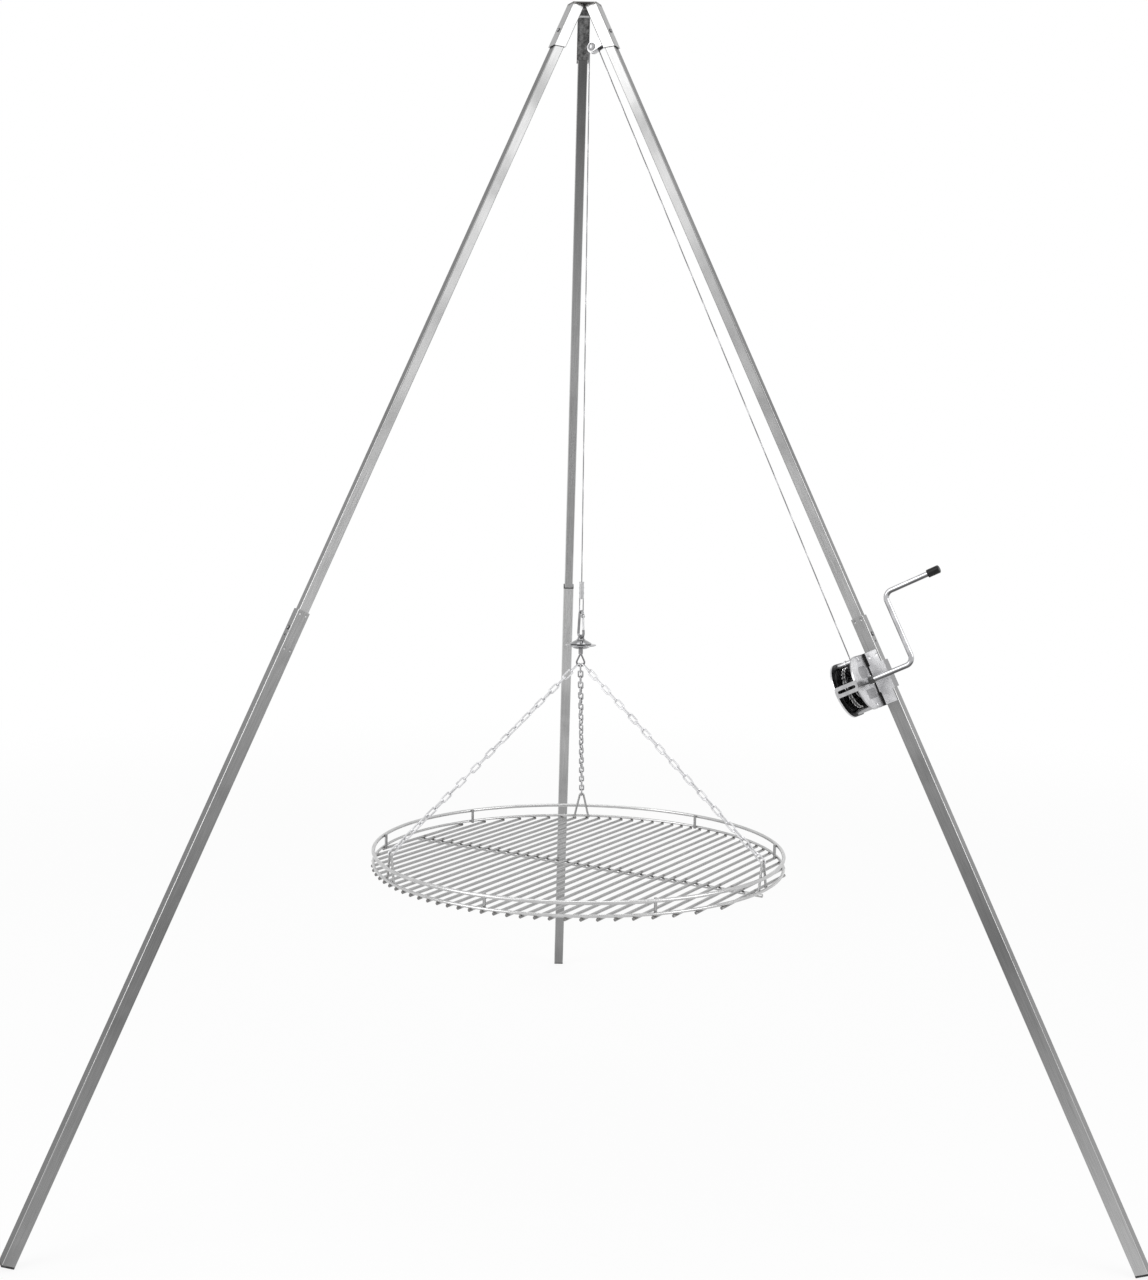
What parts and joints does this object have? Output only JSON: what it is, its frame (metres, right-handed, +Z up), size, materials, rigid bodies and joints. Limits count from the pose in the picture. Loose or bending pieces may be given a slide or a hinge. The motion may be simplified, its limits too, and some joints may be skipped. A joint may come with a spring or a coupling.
{
  "type": "tripod grill",
  "caption": "Round rod grate hung on chains from a wire rope under a splayed square-tube tripod, raised by a hand winch on one leg.",
  "frame": {"origin": "on the ground, under the middle of the bounding box; the tripod's axis is 232 mm towards -Y of it", "axes": "+Z up, rear leg towards +Y, winch leg towards +X and -Y"},
  "size_m": [1.645, 1.4251, 1.892],
  "materials": {
    "tube_steel": "satin",
    "zinc_steel": "bright zinc",
    "polished_steel": "polished",
    "grate_steel": "drawn wire",
    "rope_steel": "stranded",
    "black_metal": "black",
    "black_plastic": "moulded"
  },
  "bodies": {
    "tripod": {"hub": "tube_steel", "pulley_bracket": "zinc_steel", "pulley_bolt": "zinc_steel", "upper_leg_left": "tube_steel", "upper_leg_right": "tube_steel", "upper_leg_rear": "tube_steel", "lower_leg_left": "tube_steel", "lower_leg_right": "tube_steel", "lower_leg_rear": "tube_steel", "foot_plug_left": "black_plastic", "foot_plug_right": "black_plastic", "foot_plug_rear": "black_plastic", "hub_spring_clips": "zinc_steel", "leg_spring_clips": "zinc_steel", "winch_saddle": "zinc_steel", "winch_pad": "black_plastic", "winch_plate_outer": "zinc_steel", "winch_plate_inner": "zinc_steel", "winch_spacers": "zinc_steel", "winch_screws": "zinc_steel", "winch_strap": "zinc_steel", "winch_back": "black_metal", "winch_mount_bolts": "zinc_steel", "rope_run": "rope_steel"},
    "drum": {"drum": "black_metal", "rope_coil": "rope_steel", "crank_rod": "zinc_steel", "crank_cap": "black_plastic", "crank_collar": "black_metal", "crank_pins": "zinc_steel"},
    "pawl": {"pawl": "zinc_steel"},
    "pulley": {"pulley_wheel": "zinc_steel"},
    "rope_swing": {"rope_lead_upper": "rope_steel"},
    "rope_sway": {"rope_lead_lower": "rope_steel"},
    "hoist": {"rope_drop": "rope_steel", "rope_ferrule": "polished_steel", "rope_loop": "rope_steel", "snap_hook": "polished_steel", "hook_gate_pin": "polished_steel", "swivel_cap": "polished_steel"},
    "hook_gate": {"hook_gate": "polished_steel"},
    "grate": {"swivel_disc": "polished_steel", "chain_ring": "polished_steel", "chain_left": "zinc_steel", "chain_right": "zinc_steel", "chain_rear": "zinc_steel", "hanger_left": "grate_steel", "hanger_right": "grate_steel", "hanger_rear": "grate_steel", "upper_ring": "grate_steel", "lower_ring": "grate_steel", "ring_posts": "grate_steel", "grill_bars": "grate_steel", "cross_bar": "grate_steel"},
    "hub_button_left": {"hub_button_left": "zinc_steel"},
    "hub_button_right": {"hub_button_right": "zinc_steel"},
    "hub_button_rear": {"hub_button_rear": "zinc_steel"},
    "leg_button_left": {"leg_button_left": "zinc_steel"},
    "leg_button_right": {"leg_button_right": "zinc_steel"},
    "leg_button_rear": {"leg_button_rear": "zinc_steel"}
  },
  "joints": [
    {"name": "swing_side", "type": "hinge", "parent": "tripod", "child": "rope_swing", "pos_m": [0.00909, -0.23708, 1.824], "axis": [0.866, -0.5, 0], "range_deg": [-4, 4]},
    {"name": "swing_fore", "type": "hinge", "parent": "rope_swing", "child": "rope_sway", "pos_m": [0.00909, -0.23708, 1.824], "axis": [0.5, 0.866, 0], "range_deg": [-4, 4]},
    {"name": "hoist", "type": "slide", "parent": "rope_sway", "child": "hoist", "axis": [0, 0, 1], "range_m": [-0.35, 0.45], "deforming": ["rope_drop"]},
    {"name": "grate_yaw", "type": "hinge", "parent": "hoist", "child": "grate", "pos_m": [0.00909, -0.23708, 0.855], "axis": [0, 0, 1], "continuous": true},
    {"name": "hook_gate_hinge", "type": "hinge", "parent": "hoist", "child": "hook_gate", "pos_m": [0.01175, -0.24168, 0.90249], "axis": [0.866, 0.5, 0], "range_deg": [0, 25], "stiffness_Nm_per_rad": 0.02, "springref_deg": -17.19},
    {"name": "drum_spin", "type": "hinge", "parent": "tripod", "child": "drum", "pos_m": [0.42247, -0.53348, 0.83143], "axis": [0.7784, -0.4494, 0.4384], "continuous": true},
    {"name": "pulley_spin", "type": "hinge", "parent": "tripod", "child": "pulley", "pos_m": [0.01516, -0.24058, 1.824], "axis": [0.5, 0.866, 0], "continuous": true},
    {"name": "pawl_lift", "type": "hinge", "parent": "tripod", "child": "pawl", "pos_m": [0.39626, -0.5068, 0.85446], "axis": [0.7784, -0.4494, 0.4384], "range_deg": [0, 20], "stiffness_Nm_per_rad": 0.02, "springref_deg": -17.19},
    {"name": "hub_button_left_press", "type": "slide", "parent": "tripod", "child": "hub_button_left", "axis": [0.7784, 0.4494, -0.4384], "range_m": [0, 0.0045], "stiffness_N_per_m": 1500, "springref_m": -0.002},
    {"name": "hub_button_right_press", "type": "slide", "parent": "tripod", "child": "hub_button_right", "axis": [-0.7784, 0.4494, -0.4384], "range_m": [0, 0.0045], "stiffness_N_per_m": 1500, "springref_m": -0.002},
    {"name": "hub_button_rear_press", "type": "slide", "parent": "tripod", "child": "hub_button_rear", "axis": [0, -0.8988, -0.4384], "range_m": [0, 0.0045], "stiffness_N_per_m": 1500, "springref_m": -0.002},
    {"name": "leg_button_left_press", "type": "slide", "parent": "tripod", "child": "leg_button_left", "axis": [0.7784, 0.4494, -0.4384], "range_m": [0, 0.0045], "stiffness_N_per_m": 1500, "springref_m": -0.002},
    {"name": "leg_button_right_press", "type": "slide", "parent": "tripod", "child": "leg_button_right", "axis": [-0.7784, 0.4494, -0.4384], "range_m": [0, 0.0045], "stiffness_N_per_m": 1500, "springref_m": -0.002},
    {"name": "leg_button_rear_press", "type": "slide", "parent": "tripod", "child": "leg_button_rear", "axis": [0, -0.8988, -0.4384], "range_m": [0, 0.0045], "stiffness_N_per_m": 1500, "springref_m": -0.002}
  ],
  "couplings": [
    {"joint": "drum_spin", "follows": "hoist", "rad_per_m": -57.471},
    {"joint": "pulley_spin", "follows": "hoist", "rad_per_m": 142.86}
  ]
}
